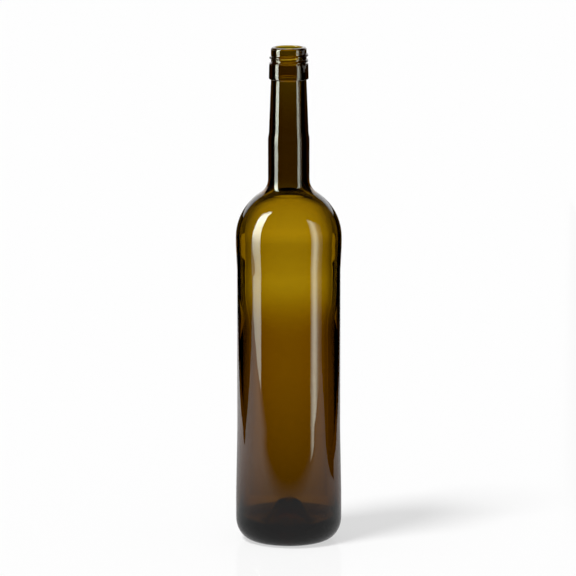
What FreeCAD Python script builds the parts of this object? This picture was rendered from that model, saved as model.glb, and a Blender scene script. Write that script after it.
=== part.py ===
import FreeCAD, Part
import math
import os

# Bordeaux wine bottle, 750 ml nominal, of antique green (dead-leaf) glass, empty and open.
# One piece of blown glass: a straight body with a recessed label panel between a shoulder band
# and a heel band, a round shoulder, a stepped neck that seats a long aluminium screw cap, and a
# bead and a thread for that cap. The bottom is pushed up into a punt inside a bearing ring.
#
# Frame: millimetres, +Z up along the axis of the bottle, origin at the centre of the plane that
# the bearing ring stands on. Sizes measured down from the mouth are called drops.

# ---- Driving dimensions ----------------------------------------------------------------------

overall_height = 345.0

# Body, outside.
shoulder_band_d = 73.3         # largest diameter, just under the shoulder
heel_band_d = 73.5             # contact band above the heel
panel_recess = 0.85            # depth of the label panel, behind the shoulder band
heel_band_top = 25.0           # height where the heel band starts to taper in
panel_bottom = 85.0            # height where the label panel starts
panel_top_gap = 25.5           # from the end of the label panel up to the shoulder's start
band_taper = 22.0              # height of the taper from panel to shoulder band
taper_straight = 0.55          # share of a taper's height between its two rounded ends
heel_reach = 12.1              # how far the heel curve comes in from the heel band
heel_height = 15.2             # how far the heel curve rises

# Shoulder and neck, outside.
neck_length = 91.4             # mouth down to where the neck runs into the shoulder
neck_fillet_r = 11.2           # hollow curve between neck and shoulder
neck_d = 28.6                  # plain neck, below the cap
cap_seat_drop = 57.6           # end of the cap's skirt, where the neck starts to step out
cap_step_height = 6.6          # height of that step
cap_step_depth = 0.7

# Finish, outside.
root_d = 24.5                  # sealing lip, root of the thread and neck just under the bead
lip_edge_r = 1.5
bead_drop = 10.9               # top of the bead
bead_height = 11.1
bead_top_overhang = 1.2        # how far the bead stands out over the root
bead_foot_overhang = 1.45
bead_top_r = 0.6
bead_foot_r = 0.8
under_bead_r = 0.5
thread_height = 1.1
thread_pitch = 3.85
thread_turns = 1.75
thread_drop = 5.2              # centre of the thread's first full crest
thread_start_angle = 60.0      # where the thread runs in, degrees from +X
thread_run_in = 50.0           # angle over which it rises, and again falls
thread_width = 2.3             # at the root
thread_crest_width = 0.7
thread_end_lift = 0.03         # share of the height left where it fades out
thread_facet = 15.0            # degrees of turn between two of its cross-sections

# Inside.
bore_d = 18.5
bore_edge_r = 0.8
neck_wall = 4.3                # plain neck
shoulder_wall = 2.5
panel_wall = 2.4               # at the top of the label panel
settled_wall = 4.0             # lower down, where the glass was held longer against the mould
settle_gap = 9.0               # from the panel's top down to where the wall starts to thicken
settle_length = 38.0           # height over which it thickens
heel_band_wall = 4.2
inner_heel_top = 19.2          # height where the inner wall turns in
inner_heel_reach = 12.0
floor_thickness = 11.0         # over the bearing ring
inner_valley_r = 5.0

# Bearing ring and punt.
ring_width = 2.2               # flat that the bottle stands on
ring_fillet_r = 2.5
punt_depth = 20.5
punt_crown_r = 12.0
punt_thickness = 9.0
inner_crown_r = 13.0

# ---- Heights and radii that follow from them ---------------------------------------------------

shoulder_r = shoulder_band_d / 2
panel_r = shoulder_r - panel_recess
heel_r = heel_band_d / 2
neck_r = neck_d / 2
root_r = root_d / 2
bore_r = bore_d / 2
neck_foot_z = overall_height - neck_length
bead_top_z = overall_height - bead_drop
bead_foot_z = bead_top_z - bead_height
cap_step_z = overall_height - cap_seat_drop
ring_outer_r = heel_r - heel_reach
ring_inner_r = ring_outer_r - ring_width

# The two edges of the sealing lip share its wall, and keep a flat between them.
lip_wall = root_r - bore_r
outer_edge_r = min(lip_edge_r, 0.55 * lip_wall)
inner_edge_r = min(bore_edge_r, 0.3 * lip_wall)


def fillet_rise(arc_r, fillet_r, side_r):
    """From the shoulder arc's centre up to that of a fillet tangent to both arc and neck."""
    return math.sqrt((arc_r + fillet_r) ** 2 - (side_r + fillet_r) ** 2)


shoulder_z = neck_foot_z - fillet_rise(shoulder_r, neck_fillet_r, neck_r)
panel_top = shoulder_z - panel_top_gap


# ---- Drawing tools -----------------------------------------------------------------------------

def on_plane(r, z):
    return FreeCAD.Vector(r, 0, z)


def around(centre, radius, degrees):
    """Point on a circle in the profile plane."""
    a = math.radians(degrees)
    return centre[0] + radius * math.cos(a), centre[1] + radius * math.sin(a)


class Profile:
    """A half section of the bottle, drawn as joined lines and curves."""

    def __init__(self, r, z):
        self.start = self.end = (r, z)
        self.edges = []

    def line(self, r, z):
        self.edges.append(Part.LineSegment(on_plane(*self.end), on_plane(r, z)).toShape())
        self.end = (r, z)

    def arc(self, middle, end):
        points = on_plane(*self.end), on_plane(*middle), on_plane(*end)
        self.edges.append(Part.Arc(*points).toShape())
        self.end = end

    def turn(self, centre, radius, start, stop):
        """Line to an arc about centre, then the arc, between two angles in degrees."""
        first = around(centre, radius, start)
        if math.dist(first, self.end) > 1e-6:
            self.line(*first)
        self.arc(around(centre, radius, (start + stop) / 2), around(centre, radius, stop))

    def ogee(self, r, z, straight=0.0):
        """Two equal arcs, upright at both ends, to a point at another radius and height.

        A share of the height between them can be straight.
        """
        r0, z0 = self.end
        across, up = r - r0, z - z0
        if abs(across) < 1e-6:
            self.line(r, z)
            return
        half_tangent = 0.0
        for _ in range(20):
            double = 2 * straight / (1 - half_tangent ** 2)
            half_tangent = across / up / (1 - straight + double)
        lean = 2 * math.atan(half_tangent)
        radius = (1 - straight) * up / 2 / math.sin(lean)

        def step(turned):
            return radius * (1 - math.cos(turned)), radius * math.sin(turned)

        (mid_r, mid_z), (end_r, end_z) = step(lean / 2), step(lean)
        self.arc((r0 + mid_r, z0 + mid_z), (r0 + end_r, z0 + end_z))
        if straight > 0:
            self.line(r - end_r, z - end_z)
        self.arc((r - mid_r, z - mid_z), (r, z))

    def quarter_ellipse(self, centre, reach, height, start, stop):
        """A quarter of an upright ellipse, by arcs through points on it, between two angles."""
        arcs = 4

        def at(k):
            a = math.radians(start + (stop - start) * k / (2 * arcs))
            return centre[0] + reach * math.cos(a), centre[1] + height * math.sin(a)

        for k in range(arcs):
            self.arc(at(2 * k + 1), at(2 * k + 2))

    def solid(self):
        self.line(*self.start)
        face = Part.Face(Part.Wire(self.edges))
        return face.revolve(FreeCAD.Vector(0, 0, 0), FreeCAD.Vector(0, 0, 1), 360)


def punt_shape(ring, ring_r, apex_z, crown_r):
    """A punt's crown about the axis and the slope of its flank, for a hollow curve at its ring.

    The crown is as round as asked, or as round as the ring leaves room for.
    """
    crown_r = min(crown_r, ring[0] - ring_r)
    crown_z = apex_z - crown_r
    up = crown_z - ring[1]
    slope = math.atan2(up, ring[0]) + math.asin((ring_r + crown_r) / math.hypot(ring[0], up))
    return (0, crown_z), crown_r, math.degrees(slope)


# ---- The glass ---------------------------------------------------------------------------------

def draw_punt(profile):
    """Underside of the punt, from its crown on the axis out to the bearing ring."""
    ring = ring_inner_r, ring_fillet_r
    crown, crown_r, slope = punt_shape(ring, ring_fillet_r, punt_depth, punt_crown_r)
    profile.turn(crown, crown_r, 90, 90 - slope)
    profile.turn(ring, ring_fillet_r, 270 - slope, 270)
    profile.line(ring_outer_r, 0)


def draw_body(profile):
    """Heel, heel band, label panel, shoulder band, shoulder and plain neck."""
    profile.quarter_ellipse((ring_outer_r, heel_height), heel_reach, heel_height, -90, 0)
    profile.line(heel_r, heel_band_top)
    profile.ogee(panel_r, panel_bottom, taper_straight)
    profile.line(panel_r, panel_top)
    profile.ogee(shoulder_r, panel_top + band_taper, taper_straight)
    hollow = neck_r + neck_fillet_r, neck_foot_z
    meet = math.degrees(math.atan2(neck_foot_z - shoulder_z, hollow[0]))
    profile.turn((0, shoulder_z), shoulder_r, 0, meet)
    profile.turn(hollow, neck_fillet_r, 180 + meet, 180)


def draw_cap_seat(profile):
    """Step out of the neck, and the cone that the cap's skirt covers."""
    profile.line(neck_r, cap_step_z - cap_step_height)
    profile.ogee(neck_r - cap_step_depth, cap_step_z)
    profile.line(root_r, bead_foot_z - under_bead_r)
    profile.turn((root_r + under_bead_r, bead_foot_z - under_bead_r), under_bead_r, 180, 90)


def draw_finish(profile):
    """Bead, thread root and sealing lip, up to the mouth."""
    foot_r = root_r + bead_foot_overhang
    top_r = root_r + bead_top_overhang
    profile.turn((foot_r - bead_foot_r, bead_foot_z + bead_foot_r), bead_foot_r, 270, 360)
    profile.turn((top_r - bead_top_r, bead_top_z - bead_top_r), bead_top_r, 0, 90)
    profile.line(root_r, bead_top_z)
    profile.turn((root_r - outer_edge_r, overall_height - outer_edge_r), outer_edge_r, 0, 90)


def draw_inside(profile):
    """Bore, inner neck, shoulder, wall, heel and the top of the punt, down to the axis."""
    profile.turn((bore_r + inner_edge_r, overall_height - inner_edge_r), inner_edge_r, 90, 180)
    profile.line(bore_r, cap_step_z)

    inner_neck_r = neck_r - neck_wall
    inner_fillet_r = neck_fillet_r + neck_wall
    inner_shoulder_r = shoulder_r - shoulder_wall
    profile.ogee(inner_neck_r, cap_step_z - cap_step_height)
    rise = fillet_rise(inner_shoulder_r, inner_fillet_r, inner_neck_r)
    hollow = inner_neck_r + inner_fillet_r, shoulder_z + rise
    meet = math.degrees(math.atan2(rise, hollow[0]))
    profile.turn(hollow, inner_fillet_r, 180, 180 + meet)
    profile.turn((0, shoulder_z), inner_shoulder_r, meet, 0)

    settle_top = panel_top - settle_gap
    inner_heel_r = heel_r - heel_band_wall
    profile.ogee(panel_r - panel_wall, panel_top)
    profile.line(panel_r - panel_wall, settle_top)
    profile.ogee(panel_r - settled_wall, settle_top - settle_length)
    profile.line(panel_r - settled_wall, panel_bottom)
    profile.ogee(inner_heel_r, heel_band_top, taper_straight)

    valley = inner_heel_r - inner_heel_reach, inner_heel_top
    profile.line(inner_heel_r, inner_heel_top)
    profile.quarter_ellipse(valley, inner_heel_reach, inner_heel_top - floor_thickness, 0, -90)

    apex_z = punt_depth + punt_thickness
    turn = valley[0], floor_thickness + inner_valley_r
    crown, crown_r, slope = punt_shape(turn, inner_valley_r, apex_z, inner_crown_r)
    profile.turn(turn, inner_valley_r, 270, 270 - slope)
    profile.turn(crown, crown_r, 90 - slope, 90)


def blown_glass():
    profile = Profile(0, punt_depth)
    draw_punt(profile)
    draw_body(profile)
    draw_cap_seat(profile)
    draw_finish(profile)
    draw_inside(profile)
    return profile.solid()


# ---- The thread --------------------------------------------------------------------------------

def thread_section(angle, lift):
    """Cross-section of the thread at one angle below its start, in a plane through the axis."""
    inside_r = (root_r + bore_r) / 2
    crest_r = root_r + thread_height * lift
    centre_z = overall_height - thread_drop - thread_pitch * (angle - thread_run_in) / 360
    foot, crest = thread_width / 2, thread_crest_width / 2
    outline = [(inside_r, foot), (root_r, foot), (crest_r, crest),
               (crest_r, -crest), (root_r, -foot), (inside_r, -foot)]
    turned = math.radians(thread_start_angle - angle)
    points = [FreeCAD.Vector(r * math.cos(turned), r * math.sin(turned), centre_z + up)
              for r, up in outline]
    return Part.makePolygon(points + points[:1])


def thread():
    """Right-handed ridge that falls as it runs clockwise, seen from above, and fades at both ends."""
    sections = []
    total = 360 * thread_turns
    steps = round(total / thread_facet)
    for k in range(steps + 1):
        angle = total * k / steps
        ramp = min(angle, total - angle) / thread_run_in
        lift = math.sin(math.pi / 2 * min(ramp, 1.0))
        sections.append(thread_section(angle, max(lift, thread_end_lift)))
    return Part.makeLoft(sections, True, True)


bottle = blown_glass().fuse(thread())

os.makedirs("parts", exist_ok=True)
bottle.exportStep("parts/bottle.step")
print("solids", len(bottle.Solids), "valid", bottle.isValid(), "volume cm3", bottle.Volume / 1000)
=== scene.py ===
import math

import bpy
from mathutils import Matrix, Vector, noise


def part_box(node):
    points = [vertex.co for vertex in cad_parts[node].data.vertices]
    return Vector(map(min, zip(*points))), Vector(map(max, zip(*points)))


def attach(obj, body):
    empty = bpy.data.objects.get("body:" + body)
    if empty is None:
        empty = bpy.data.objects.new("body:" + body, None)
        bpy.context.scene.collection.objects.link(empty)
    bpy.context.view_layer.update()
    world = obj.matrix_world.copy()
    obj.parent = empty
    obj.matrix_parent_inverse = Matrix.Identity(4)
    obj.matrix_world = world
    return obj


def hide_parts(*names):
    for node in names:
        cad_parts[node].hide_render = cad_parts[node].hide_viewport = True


# Bordeaux wine bottle of antique green glass, empty and open, on a white table.
#
# The frame holds the bottle as one CAD solid. Here the same glass is modelled again as a finely
# divided mesh, from the same sizes, so that light bends through a smooth wall of the true
# thickness. Lengths are in millimetres and become metres where a mesh is drawn.

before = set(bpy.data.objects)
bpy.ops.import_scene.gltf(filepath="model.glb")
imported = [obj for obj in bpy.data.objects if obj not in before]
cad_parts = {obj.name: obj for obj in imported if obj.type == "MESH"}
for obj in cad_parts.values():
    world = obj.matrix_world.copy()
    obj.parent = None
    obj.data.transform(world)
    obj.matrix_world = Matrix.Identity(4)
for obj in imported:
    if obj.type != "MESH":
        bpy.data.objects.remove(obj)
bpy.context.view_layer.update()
_, glass_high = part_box("bottle")

MM = 0.001

# ---- Sizes of the bottle, in millimetres ---------------------------------------------------------

overall_height = glass_high.z / MM
heel_r = glass_high.x / MM

shoulder_r = 36.65
panel_r = shoulder_r - 0.85
neck_r = 14.3
root_r = 12.25
bore_r = 9.25

# Heights, up from the table.
heel_band_top = 25.0
panel_bottom = 85.0
panel_top_gap = 25.5
band_taper = 22.0
taper_straight = 0.55          # share of a taper between its two rounded ends
heel_reach = 12.1
heel_height = 15.2
neck_foot = overall_height - 91.4
neck_fillet_r = 11.2
cap_step = overall_height - 57.6
cap_step_height = 6.6
cap_step_depth = 0.7

# Finish.
lip_outer_r = 1.5
lip_inner_r = 0.8
bead_top = overall_height - 10.9
bead_foot = bead_top - 11.1
bead_top_overhang = 1.2
bead_foot_overhang = 1.45
bead_top_r = 0.6
bead_foot_r = 0.8
under_bead_r = 0.5
thread_height = 1.1
thread_pitch = 3.85
thread_turns = 1.75
thread_drop = 5.2
thread_start_angle = 60.0
thread_run_in = 50.0
thread_width = 2.3
thread_crest_width = 0.7

# Inside.
neck_wall = 4.3
shoulder_wall = 2.5
panel_wall = 2.4
settled_wall = 4.0
settle_gap = 9.0
settle_length = 38.0
heel_band_wall = 4.2
inner_heel_top = 19.2
inner_heel_reach = 12.0
floor_thickness = 11.0
inner_valley_r = 5.0

# Bearing ring and punt.
ring_outer_r = heel_r - heel_reach
ring_inner_r = ring_outer_r - 2.2
ring_fillet_r = 2.5
punt_depth = 20.5
punt_crown_r = 12.0
punt_thickness = 9.0
inner_crown_r = 13.0

# How finely the glass is divided.
segments = 192                 # round the axis
row_height = 3.0               # along straight stretches
ogee_row_height = 1.2          # along the arcs of a taper
thread_row_height = 0.3        # where the thread is raised
arc_turn = 6.0                 # degrees of a curve between two points
same_place = 0.0001            # two points that are nearer than this are one
weld = 0.002                   # so are two corners of the mesh, once it is turned
tolerance = 0.01               # for finding the corners that lie on a surface
wave_size = 34.0               # length of the slow waves in the inner wall
wave_depth = 0.05


def fillet_rise(arc_r, fillet_r, side_r):
    """From the shoulder arc's centre up to that of a fillet tangent to both arc and neck."""
    return math.sqrt((arc_r + fillet_r) ** 2 - (side_r + fillet_r) ** 2)


shoulder_z = neck_foot - fillet_rise(shoulder_r, neck_fillet_r, neck_r)
panel_top = shoulder_z - panel_top_gap


# ---- Drawing a half section ----------------------------------------------------------------------

class HalfSection:
    """The glass on one side of the axis, as points (radius, height) in drawing order."""

    def __init__(self, r, z):
        self.points = [(r, z)]

    def line(self, r, z, step=row_height):
        r0, z0 = self.points[-1]
        parts = max(1, round(math.hypot(r - r0, z - z0) / step))
        for k in range(1, parts + 1):
            self.points.append((r0 + (r - r0) * k / parts, z0 + (z - z0) * k / parts))

    def turn(self, centre, reach, height, start, stop):
        """Line to an arc about centre, then the arc, between two angles in degrees."""
        parts = max(4, round(abs(stop - start) / arc_turn))
        for k in range(parts + 1):
            a = math.radians(start + (stop - start) * k / parts)
            point = centre[0] + reach * math.cos(a), centre[1] + height * math.sin(a)
            if k > 0:
                self.points.append(point)
            elif math.dist(point, self.points[-1]) > same_place:
                self.line(*point)

    def ogee(self, r, z, straight=0.0):
        """Two equal arcs, upright at both ends, to a point at another radius and height.

        A share of the height between them can be straight.
        """
        r0, z0 = self.points[-1]
        across, up = r - r0, z - z0
        # The lean and the straight's own width depend on each other, so they are settled in turns.
        half_tangent = 0.0
        for _ in range(20):
            double = 2 * straight / (1 - half_tangent ** 2)
            half_tangent = across / up / (1 - straight + double)
        lean = 2 * math.atan(half_tangent)
        radius = (1 - straight) * up / 2 / math.sin(lean)
        parts = max(4, round(abs(up) * (1 - straight) / 2 / ogee_row_height))
        turns = [lean * k / parts for k in range(parts + 1)]
        for a in turns[1:]:
            self.points.append((r0 + radius * (1 - math.cos(a)), z0 + radius * math.sin(a)))
        if straight > 0:
            self.line(r - radius * (1 - math.cos(lean)), z - radius * math.sin(lean))
        for a in reversed(turns[:-1]):
            self.points.append((r - radius * (1 - math.cos(a)), z - radius * math.sin(a)))


def punt_slope(ring, ring_r, crown_z, crown_r):
    """Slope of a punt's flank, between its crown on the axis and the curve at its ring."""
    up = crown_z - ring[1]
    lean = math.asin((ring_r + crown_r) / math.hypot(ring[0], up))
    return math.degrees(math.atan2(up, ring[0]) + lean)


def draw_outside():
    """From the punt's crown out to the bearing ring, and up the outside to the mouth."""
    section = HalfSection(0, punt_depth)
    ring = ring_inner_r, ring_fillet_r
    crown_z = punt_depth - punt_crown_r
    slope = punt_slope(ring, ring_fillet_r, crown_z, punt_crown_r)
    section.turn((0, crown_z), punt_crown_r, punt_crown_r, 90, 90 - slope)
    section.turn(ring, ring_fillet_r, ring_fillet_r, 270 - slope, 270)
    section.line(ring_outer_r, 0)

    section.turn((ring_outer_r, heel_height), heel_reach, heel_height, -90, 0)
    section.line(heel_r, heel_band_top)
    section.ogee(panel_r, panel_bottom, taper_straight)
    section.line(panel_r, panel_top)
    section.ogee(shoulder_r, panel_top + band_taper, taper_straight)
    hollow = neck_r + neck_fillet_r, neck_foot
    meet = math.degrees(math.atan2(neck_foot - shoulder_z, hollow[0]))
    section.turn((0, shoulder_z), shoulder_r, shoulder_r, 0, meet)
    section.turn(hollow, neck_fillet_r, neck_fillet_r, 180 + meet, 180)

    section.line(neck_r, cap_step - cap_step_height)
    section.ogee(neck_r - cap_step_depth, cap_step)
    under = root_r + under_bead_r, bead_foot - under_bead_r
    section.turn(under, under_bead_r, under_bead_r, 180, 90)
    foot = root_r + bead_foot_overhang - bead_foot_r, bead_foot + bead_foot_r
    section.turn(foot, bead_foot_r, bead_foot_r, 270, 360)
    top = root_r + bead_top_overhang - bead_top_r, bead_top - bead_top_r
    section.turn(top, bead_top_r, bead_top_r, 0, 90)
    section.line(root_r, bead_top)
    section.line(root_r, overall_height - lip_outer_r, thread_row_height)
    lip = root_r - lip_outer_r, overall_height - lip_outer_r
    section.turn(lip, lip_outer_r, lip_outer_r, 0, 90)
    return section


def draw_inside(section):
    """Down the inside, from the mouth to the top of the punt."""
    lip = bore_r + lip_inner_r, overall_height - lip_inner_r
    section.turn(lip, lip_inner_r, lip_inner_r, 90, 180)
    section.line(bore_r, cap_step)

    inner_neck_r = neck_r - neck_wall
    inner_fillet_r = neck_fillet_r + neck_wall
    inner_shoulder_r = shoulder_r - shoulder_wall
    section.ogee(inner_neck_r, cap_step - cap_step_height)
    rise = fillet_rise(inner_shoulder_r, inner_fillet_r, inner_neck_r)
    hollow = inner_neck_r + inner_fillet_r, shoulder_z + rise
    meet = math.degrees(math.atan2(rise, hollow[0]))
    section.turn(hollow, inner_fillet_r, inner_fillet_r, 180, 180 + meet)
    section.turn((0, shoulder_z), inner_shoulder_r, inner_shoulder_r, meet, 0)

    inner_heel_r = heel_r - heel_band_wall
    settle_top = panel_top - settle_gap
    section.ogee(panel_r - panel_wall, panel_top)
    section.line(panel_r - panel_wall, settle_top)
    section.ogee(panel_r - settled_wall, settle_top - settle_length)
    section.line(panel_r - settled_wall, panel_bottom)
    section.ogee(inner_heel_r, heel_band_top, taper_straight)
    section.line(inner_heel_r, inner_heel_top)
    valley = inner_heel_r - inner_heel_reach, inner_heel_top
    section.turn(valley, inner_heel_reach, inner_heel_top - floor_thickness, 0, -90)

    turn = valley[0], floor_thickness + inner_valley_r
    crown_z = punt_depth + punt_thickness - inner_crown_r
    slope = punt_slope(turn, inner_valley_r, crown_z, inner_crown_r)
    section.turn(turn, inner_valley_r, inner_valley_r, 270, 270 - slope)
    section.turn((0, crown_z), inner_crown_r, inner_crown_r, 90 - slope, 90)


# ---- The glass -----------------------------------------------------------------------------------

def extrude_along(points):
    """Draws a line of points with the one point that a plane is merged into."""
    bpy.ops.object.select_all(action="DESELECT")
    bpy.ops.mesh.primitive_plane_add(size=MM)
    piece = bpy.context.object
    bpy.ops.object.mode_set(mode="EDIT")
    bpy.ops.mesh.select_all(action="SELECT")
    bpy.ops.mesh.merge(type="CENTER")
    bpy.ops.transform.translate(value=(points[0][0] * MM, 0, points[0][1] * MM))
    for (r0, z0), (r, z) in zip(points, points[1:]):
        step = ((r - r0) * MM, 0, (z - z0) * MM)
        bpy.ops.mesh.extrude_region_move(TRANSFORM_OT_translate={"value": step})
    return piece


def thread_rise(angle, z):
    """How far the thread stands out of the root at a place on it, in millimetres."""
    total = 360 * thread_turns
    rise = 0.0
    along = (thread_start_angle - angle) % 360
    while along < total:
        centre = overall_height - thread_drop - thread_pitch * (along - thread_run_in) / 360
        from_end = min(along, total - along) / thread_run_in
        lift = math.sin(math.pi / 2 * min(from_end, 1.0))
        flank = (thread_width - thread_crest_width) / 2
        share = (thread_width / 2 - abs(z - centre)) / flank
        share = min(max(share, 0.0), 1.0)
        rise = max(rise, thread_height * lift * share * share * (3 - 2 * share))
        along += 360
    return rise


def raise_thread(piece):
    """Pushes the root of the finish out into the thread that the cap screws on."""
    for vertex in piece.data.vertices:
        r, z = vertex.co.xy.length / MM, vertex.co.z / MM
        lip_foot = overall_height - lip_outer_r
        if r > root_r - tolerance and bead_top + tolerance < z < lip_foot + tolerance:
            angle = math.degrees(math.atan2(vertex.co.y, vertex.co.x))
            vertex.co.xy *= 1 + thread_rise(angle, z) / r


def wave_inner_wall(piece):
    """Gives the inside the slow waves of blown glass, which only the outside's mould holds true."""
    fade_height = 4 * row_height
    normals = [v.normal.copy() for v in piece.data.vertices]
    for vertex, normal in zip(piece.data.vertices, normals):
        outward = Vector((vertex.co.x, vertex.co.y, 0)).normalized()
        z = vertex.co.z / MM
        if normal.dot(outward) < -0.5 and z < cap_step:
            fade = min(1.0, max(0.0, (z - inner_heel_top) / fade_height))
            wave = noise.noise(vertex.co / (wave_size * MM))
            vertex.co += normal * wave * wave_depth * MM * fade


def blow_bottle():
    section = draw_outside()
    draw_inside(section)
    piece = extrude_along(section.points)
    piece.name = "bottle_glass"
    bpy.ops.mesh.select_all(action="SELECT")
    bpy.ops.mesh.spin(steps=segments, angle=math.tau, center=(0, 0, 0), axis=(0, 0, 1))
    bpy.ops.mesh.select_all(action="SELECT")
    bpy.ops.mesh.remove_doubles(threshold=weld * MM)
    bpy.ops.mesh.normals_make_consistent(inside=False)
    bpy.ops.object.mode_set(mode="OBJECT")
    raise_thread(piece)
    wave_inner_wall(piece)
    bpy.ops.object.shade_smooth()
    return piece


# ---- Materials -----------------------------------------------------------------------------------

def linear(code):
    """A colour written as sRGB hex, as the linear values that shaders take."""
    values = [int(code[k:k + 2], 16) / 255 for k in (0, 2, 4)]
    return [v / 12.92 if v <= 0.04045 else ((v + 0.055) / 1.055) ** 2.4 for v in values] + [1.0]


def node(tree, kind, inputs=None, **settings):
    """Adds a node. An input is given a value, or the socket that feeds it."""
    new = tree.nodes.new(kind)
    for name, value in settings.items():
        setattr(new, name, value)
    for key, value in (inputs or {}).items():
        if isinstance(value, bpy.types.NodeSocket):
            tree.links.new(value, new.inputs[key])
        else:
            new.inputs[key].default_value = value
    return new


def new_material(name):
    material = bpy.data.materials.new(name)
    material.use_nodes = True
    material.node_tree.nodes.clear()
    return material, material.node_tree


def object_axes(tree):
    """The three coordinates of a place on the object, in metres."""
    place = node(tree, "ShaderNodeTexCoord").outputs["Object"]
    return node(tree, "ShaderNodeSeparateXYZ", {"Vector": place}).outputs


def ramp(tree, value, stops):
    """A grey that follows a value through (position, level) stops, and stays level past them."""
    low, high = stops[0][0], stops[-1][0]
    brightest = max(level for _, level in stops)
    share = node(tree, "ShaderNodeMapRange", {"Value": value, "From Min": low, "From Max": high})
    curve = node(tree, "ShaderNodeValToRGB", {"Fac": share.outputs["Result"]})
    elements = curve.color_ramp.elements
    for position, _ in stops[1:-1]:
        elements.new((position - low) / (high - low))
    for element, (_, level) in zip(elements, stops):
        element.color = [level / brightest] * 3 + [1.0]
    grey = node(tree, "ShaderNodeMath", {
        0: curve.outputs["Color"], 1: brightest}, operation="MULTIPLY")
    return grey.outputs["Value"]


def antique_green_glass():
    """Soda-lime container glass, coloured dead-leaf green by iron, sulphur and carbon.

    The colour is in the body of the glass, so thick walls go from olive gold to brown black.
    The mould leaves a fire-polished skin with a faint orange peel and clouds of a fainter haze.
    """
    material, tree = new_material("antique_green_glass")
    place = node(tree, "ShaderNodeTexCoord").outputs["Object"]
    peel_size = 2.5 * MM
    peel_depth = 0.0004 * MM
    peel = node(tree, "ShaderNodeTexNoise", {
        "Vector": place, "Scale": 1 / peel_size, "Detail": 1.0})
    bump = node(tree, "ShaderNodeBump", {
        "Height": peel.outputs["Fac"], "Strength": 1.0, "Distance": peel_depth})
    cloud_size = 30 * MM
    cloud = node(tree, "ShaderNodeTexNoise", {
        "Vector": place, "Scale": 1 / cloud_size, "Detail": 3.0})
    haze = node(tree, "ShaderNodeMapRange", {
        "Value": cloud.outputs["Fac"], "From Min": 0.35, "From Max": 0.75,
        "To Min": 0.0, "To Max": 0.008})
    surface = node(tree, "ShaderNodeBsdfPrincipled", {
        "Base Color": linear("ffffff"), "Transmission Weight": 1.0, "IOR": 1.52,
        "Roughness": haze.outputs["Result"], "Normal": bump.outputs["Normal"]})
    body = node(tree, "ShaderNodeVolumeAbsorption", {"Color": linear("ece14f"), "Density": 1300.0})
    node(tree, "ShaderNodeOutputMaterial", {
        "Surface": surface.outputs["BSDF"], "Volume": body.outputs["Volume"]})
    return material


# ---- The table -----------------------------------------------------------------------------------
#
# From here on, places are in metres: x to the right of the bottle's axis, y behind it, z up.

table_front = -0.30            # the edge of the table that the glass mirrors


def table_finish():
    """White laminate with a slight gloss.

    To the eye it is evenly bright, with the lamp's shadow and a faint mirror image on it. What the
    glass mirrors and bends is a glow of painted light instead. Through the glass it has a painted
    shadow, black under the bottle and lighter farther behind it. In the glass's mirror image it has
    painted softbox light, brighter to the sides, and it is black in front of its edge for the dark
    room.
    """
    material, tree = new_material("white_laminate")
    axes = object_axes(tree)
    path = node(tree, "ShaderNodeLightPath")
    white = linear("ffffff")

    lit = node(tree, "ShaderNodeBsdfDiffuse", {"Color": linear("a4a4a4")})
    even = node(tree, "ShaderNodeEmission", {"Color": white, "Strength": 0.58})
    sheet = node(tree, "ShaderNodeAddShader", {0: lit.outputs["BSDF"], 1: even.outputs["Emission"]})
    gloss = node(tree, "ShaderNodeBsdfGlossy", {"Color": linear("303030"), "Roughness": 0.1})
    to_eye = node(tree, "ShaderNodeAddShader", {
        0: sheet.outputs["Shader"], 1: gloss.outputs["BSDF"]})

    # Painted shadow of the bottle, seen through the glass: black under the bottle and up to 8 cm
    # behind its axis, lighter farther back.
    behind = ramp(tree, axes["Y"], [
        (0.08, 0.0), (0.1, 0.3), (0.15, 0.45), (0.25, 0.57), (0.36, 0.65), (0.47, 0.74),
        (0.6, 0.87), (0.8, 0.93), (1.1, 0.98)])
    # Painted softbox light, seen in the glass's mirror image: brighter to the sides, most to the
    # left, and black in front of the table's edge.
    across = ramp(tree, axes["X"], [
        (-0.5, 1.1), (-0.35, 1.05), (-0.08, 0.45), (0.08, 0.45), (0.35, 0.65), (0.5, 0.65)])
    front = ramp(tree, axes["Y"], [
        (table_front, 0.0), (table_front + 0.045, 0.45), (table_front + 0.1, 1.0)])
    mirrored = node(tree, "ShaderNodeMath", {0: across, 1: front}, operation="MULTIPLY")
    level = node(tree, "ShaderNodeMix", {
        "Factor": path.outputs["Is Transmission Ray"], "A": mirrored.outputs["Value"],
        "B": behind}, data_type="FLOAT")
    # For every ray but the camera's, the table glows with these painted levels.
    glow = node(tree, "ShaderNodeEmission", {"Color": white, "Strength": level.outputs["Result"]})
    sheen = node(tree, "ShaderNodeBsdfGlossy", {"Color": linear("595959"), "Roughness": 0.2})
    to_glass = node(tree, "ShaderNodeAddShader", {
        0: glow.outputs["Emission"], 1: sheen.outputs["BSDF"]})

    surface = node(tree, "ShaderNodeMixShader", {
        "Fac": path.outputs["Is Camera Ray"], 1: to_glass.outputs["Shader"],
        2: to_eye.outputs["Shader"]})
    node(tree, "ShaderNodeOutputMaterial", {"Surface": surface.outputs["Shader"]})
    return material


def set_table():
    bpy.ops.object.select_all(action="DESELECT")
    bpy.ops.mesh.primitive_plane_add(size=30)
    table = bpy.context.object
    table.name = "table"
    table.data.materials.append(table_finish())


# ---- Places in the studio ------------------------------------------------------------------------

# Flags along the table.
left_flag_x = -0.35
right_flag_x = 0.29
left_flag_end = 0.144          # their ends beside the bottle
right_flag_end = 0.039
flags_back = 1.5
flag_top = 1.2                 # of the flags that the glass bends
low_flag_top = 0.3             # of the flags that it mirrors

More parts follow.
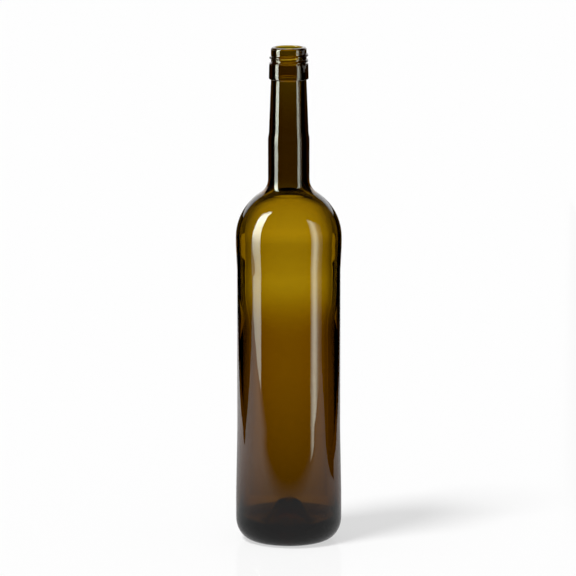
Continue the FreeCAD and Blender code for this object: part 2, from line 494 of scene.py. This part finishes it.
# Cards behind the bottle.
reflector_y = 0.13
reflector_side = 0.05
reflector_top = 0.235
wing_inner_side = 0.052
wing_outer_side = 0.11
wing_top = 0.1737
collar_y = 0.04
collar_side = 0.03
collar_foot = 0.2378
collar_top = 0.2455
neck_card_y = 0.6
neck_card_foot = 0.12
neck_card_top = 0.2635

# Softboxes and room.
left_softbox_top = 1.1
right_softbox_top = 0.54
room_r = 12.0


# ---- Finishes of the studio's cards --------------------------------------------------------------

def light_up(material, level, tint="ffffff"):
    """Has a studio surface give off light and nothing else, at a level that may vary over it."""
    tree = material.node_tree
    glow = node(tree, "ShaderNodeEmission", {"Color": linear(tint), "Strength": level})
    node(tree, "ShaderNodeOutputMaterial", {"Surface": glow.outputs["Emission"]})
    return material


def card_finish(name, level):
    """A card of one even grey."""
    material, _ = new_material(name)
    return light_up(material, level)


def graded_finish(name, axis, stops):
    """A wall whose grey changes along one axis."""
    material, tree = new_material(name)
    return light_up(material, ramp(tree, object_axes(tree)[axis], stops))


def diffuser_finish(name, axis, stops):
    """Faintly green cloth of a softbox, brighter where its lamp is.

    Light that comes from it by way of the table's gloss is left out, so it throws no glare there.
    """
    material, tree = new_material(name)
    axes = object_axes(tree)
    geometry = node(tree, "ShaderNodeNewGeometry")
    toward = node(tree, "ShaderNodeSeparateXYZ", {"Vector": geometry.outputs["Incoming"]})
    path = node(tree, "ShaderNodeLightPath")
    mirrored_at = node(tree, "ShaderNodeMath", {
        0: toward.outputs["Z"], 1: path.outputs["Ray Length"], 2: axes["Z"]},
        operation="MULTIPLY_ADD")      # the height of what mirrors it
    off_table = node(tree, "ShaderNodeMath", {
        0: mirrored_at.outputs["Value"], 1: 0.5 * MM}, operation="GREATER_THAN")
    level = node(tree, "ShaderNodeMath", {
        0: ramp(tree, axes[axis], stops), 1: off_table.outputs["Value"]}, operation="MULTIPLY")
    return light_up(material, level.outputs["Value"], tint="f6ffee")


def spread(tree, axes, lean):
    """Distance from the middle line of a card, plus a share of the height."""
    aside = node(tree, "ShaderNodeMath", {0: axes["X"]}, operation="ABSOLUTE")
    leaning = node(tree, "ShaderNodeMath", {
        0: axes["Z"], 1: lean, 2: aside.outputs["Value"]}, operation="MULTIPLY_ADD")
    return leaning.outputs["Value"]


def reflector_finish():
    """White card whose light is painted into its glow: brightest high up, as if lit from above, and
    fading to its foot and sides.
    """
    material, tree = new_material("reflector_card")
    axes = object_axes(tree)
    # Painted light up the card: dim at its foot, brightest high up, dark at its top edge.
    painted_light_by_height = ramp(tree, axes["Z"], [
        (0.0, 0.4), (0.03, 0.6), (0.055, 0.72), (0.09, 0.9), (0.14, 0.95), (0.16, 1.08),
        (0.174, 0.95), (0.185, 0.93), (0.193, 1.25), (0.2, 1.12), (0.22, 1.02), (0.226, 0.98),
        (0.229, 0.62), (0.231, 0.45), (0.233, 0.22), (reflector_top, 0.0)])
    # Painted fade towards the card's sides.
    painted_fade_to_sides = ramp(tree, spread(tree, axes, 0.08), [
        (0.0, 1.0), (0.03, 1.0), (0.042, 0.93), (0.06, 0.4)])
    level = node(tree, "ShaderNodeMath", {0: painted_light_by_height, 1: painted_fade_to_sides}, operation="MULTIPLY")
    return light_up(material, level.outputs["Value"])


def wing_finish():
    """Grey card that glows with painted light, darker towards its top and its outer edge."""
    material, tree = new_material("wing_paper")
    # Painted light, fading towards the card's top and outer edge.
    return light_up(material, ramp(tree, spread(tree, object_axes(tree), 0.7), [
        (0.07, 0.45), (0.12, 0.4), (0.141, 0.33), (0.152, 0.12), (0.162, 0.05), (0.17, 0.0)]))


# ---- The studio ----------------------------------------------------------------------------------

# What a piece of the studio is seen by. Nothing of it is seen directly.
MIRRORED = "glossy"
THROUGH_GLASS = "transmission"


def show_only(piece, way):
    """Shows a piece of the studio in mirror images alone, or through the glass alone."""
    for each in ("camera", "diffuse", "glossy", "transmission", "volume_scatter", "shadow"):
        setattr(piece, "visible_" + each, each == way)


def upright_card(name, foot, top, finish, way, bottom=0.0):
    """Cards on edge along a line of floor points, between two heights."""
    for (x0, y0), (x1, y1) in zip(foot, foot[1:]):
        turned = math.atan2(y1 - y0, x1 - x0)
        bpy.ops.object.select_all(action="DESELECT")
        middle = ((x0 + x1) / 2, (y0 + y1) / 2, (bottom + top) / 2)
        bpy.ops.mesh.primitive_plane_add(size=1, location=middle, rotation=(math.pi / 2, 0, turned))
        card = bpy.context.object
        card.name = name
        card.scale = (math.dist((x0, y0), (x1, y1)), top - bottom, 1)
        bpy.ops.object.transform_apply(location=True, rotation=True, scale=True)
        card.data.materials.append(finish)
        show_only(card, way)


def set_flags(black):
    """Black flags to both sides, which darken the edges of the glass and cut its highlights."""
    left_side = [(left_flag_x, flags_back), (left_flag_x, left_flag_end)]
    right_side = [(right_flag_x, right_flag_end), (right_flag_x, flags_back)]
    upright_card("left_flag", left_side, flag_top, black, THROUGH_GLASS)
    upright_card("left_flag_low", left_side, low_flag_top, black, MIRRORED)
    upright_card("left_flag_front", [
        (-0.344, left_flag_end), (-0.772, 0.001), (-0.92, -0.03)], low_flag_top, black, MIRRORED)
    upright_card("right_flag", right_side, flag_top, black, THROUGH_GLASS)
    upright_card("right_flag_low", right_side, low_flag_top, black, MIRRORED)
    upright_card("right_flag_front", [
        (0.229, 0.086), (0.304, 0.029), (0.416, -0.021), (0.534, -0.075), (0.66, -0.152)],
        low_flag_top, black, MIRRORED)


def set_cards(black):
    """The cards behind the bottle, whose light and dark come through the glass."""
    upright_card("neck_card", [(left_flag_x, neck_card_y), (right_flag_x, neck_card_y)],
                 neck_card_top, card_finish("grey_paper", 0.19), THROUGH_GLASS, neck_card_foot)
    upright_card("collar_strip", [(-collar_side, collar_y), (collar_side, collar_y)],
                 collar_top, black, THROUGH_GLASS, collar_foot)
    upright_card("reflector", [(-reflector_side, reflector_y), (reflector_side, reflector_y)],
                 reflector_top, reflector_finish(), THROUGH_GLASS)
    wing_paper = wing_finish()
    for side in (-1, 1):
        foot = [(wing_inner_side * side, reflector_y), (wing_outer_side * side, reflector_y)]
        upright_card("wing", foot, wing_top, wing_paper, THROUGH_GLASS)


def set_softboxes():
    """A tall softbox to the left and a lower, bent one to the right: the two long highlights."""
    left_cloth = diffuser_finish("left_diffuser", "Z", [
        (0.0, 4.8), (0.1, 6.3), (0.25, 12.0), (0.35, 14.8), (0.75, 21.0), (0.9, 18.0),
        (left_softbox_top, 6.0)])
    right_cloth = diffuser_finish("right_diffuser", "X", [
        (0.27, 1.5), (0.3, 3.2), (0.34, 5.9), (0.37, 6.7), (0.42, 5.4), (0.47, 2.6), (0.55, 0.9),
        (0.72, 0.19)])
    upright_card("left_softbox", [(-0.91, -0.09), (-0.51, -0.265)],
                 left_softbox_top, left_cloth, MIRRORED)
    upright_card("right_softbox", [(0.27, -0.25), (0.514, -0.219), (0.72, -0.155)],
                 right_softbox_top, right_cloth, MIRRORED)


def set_room():
    """The dark room round the studio, with a white wall far behind."""
    bpy.ops.object.select_all(action="DESELECT")
    bpy.ops.mesh.primitive_uv_sphere_add(segments=48, ring_count=24, radius=room_r)
    room = bpy.context.object
    room.name = "dark_room"
    room.data.materials.append(graded_finish("dark_room_wall", "Y", [
        (-room_r, 0.01), (8.7, 0.01), (9.7, 1.2), (room_r, 1.2)]))
    show_only(room, MIRRORED)


def set_studio():
    black = card_finish("black_flock", 0.0)
    set_flags(black)
    set_cards(black)
    set_softboxes()
    set_room()


def set_lamp():
    """One soft, distant key lamp from the front left, which throws the shadow on the table."""
    azimuth, elevation = math.radians(51), math.radians(62)
    bpy.ops.object.light_add(type="SUN", rotation=(math.radians(90) - elevation, 0, -azimuth))
    lamp = bpy.context.object
    lamp.name = "key_lamp"
    lamp.data.angle = math.radians(15)
    lamp.data.energy = 2.6
    lamp.visible_camera = False
    lamp.visible_glossy = False
    lamp.visible_transmission = False


def set_world():
    """White to the eye, white behind the bottle through its glass, and a little fill light."""
    fill_level = 0.28
    world = bpy.data.worlds.new("studio")
    bpy.context.scene.world = world
    world.use_nodes = True
    tree = world.node_tree
    tree.nodes.clear()
    path = node(tree, "ShaderNodeLightPath")
    toward = node(tree, "ShaderNodeTexCoord").outputs["Generated"]
    axes = node(tree, "ShaderNodeSeparateXYZ", {"Vector": toward})
    behind = node(tree, "ShaderNodeMapRange", {
        "Value": axes.outputs["Y"], "From Min": -0.1, "From Max": 0.2})
    through = node(tree, "ShaderNodeMath", {
        0: path.outputs["Is Transmission Ray"], 1: behind.outputs["Result"]}, operation="MULTIPLY")
    shown = node(tree, "ShaderNodeMath", {
        0: path.outputs["Is Camera Ray"], 1: through.outputs["Value"]}, operation="MAXIMUM")
    fill = node(tree, "ShaderNodeMath", {
        0: path.outputs["Is Diffuse Ray"], 1: fill_level}, operation="MULTIPLY")
    level = node(tree, "ShaderNodeMath", {
        0: shown.outputs["Value"], 1: fill.outputs["Value"]}, operation="ADD")
    sky = node(tree, "ShaderNodeBackground", {
        "Color": linear("ffffff"), "Strength": level.outputs["Value"]})
    node(tree, "ShaderNodeOutputWorld", {"Surface": sky.outputs["Background"]})


def set_camera():
    """A long lens in front of the bottle, above it and looking down a little."""
    aside, distance, height = -0.0005, 3.032, 0.7277
    looking_down = 10.29
    bpy.ops.object.camera_add(location=(aside, -distance, height),
                              rotation=(math.radians(90 - looking_down), 0, 0))
    camera = bpy.context.object
    camera.name = "camera"
    camera.data.sensor_width = 36.0
    camera.data.lens = 278.35
    camera.data.clip_end = 100.0
    bpy.context.scene.camera = camera


# ---- The scene -----------------------------------------------------------------------------------

set_camera()
set_world()
set_table()
set_lamp()
set_studio()
bpy.context.scene.view_settings.view_transform = "Standard"

bottle = blow_bottle()
bottle.data.materials.append(antique_green_glass())
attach(bottle, "root")
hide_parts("bottle")
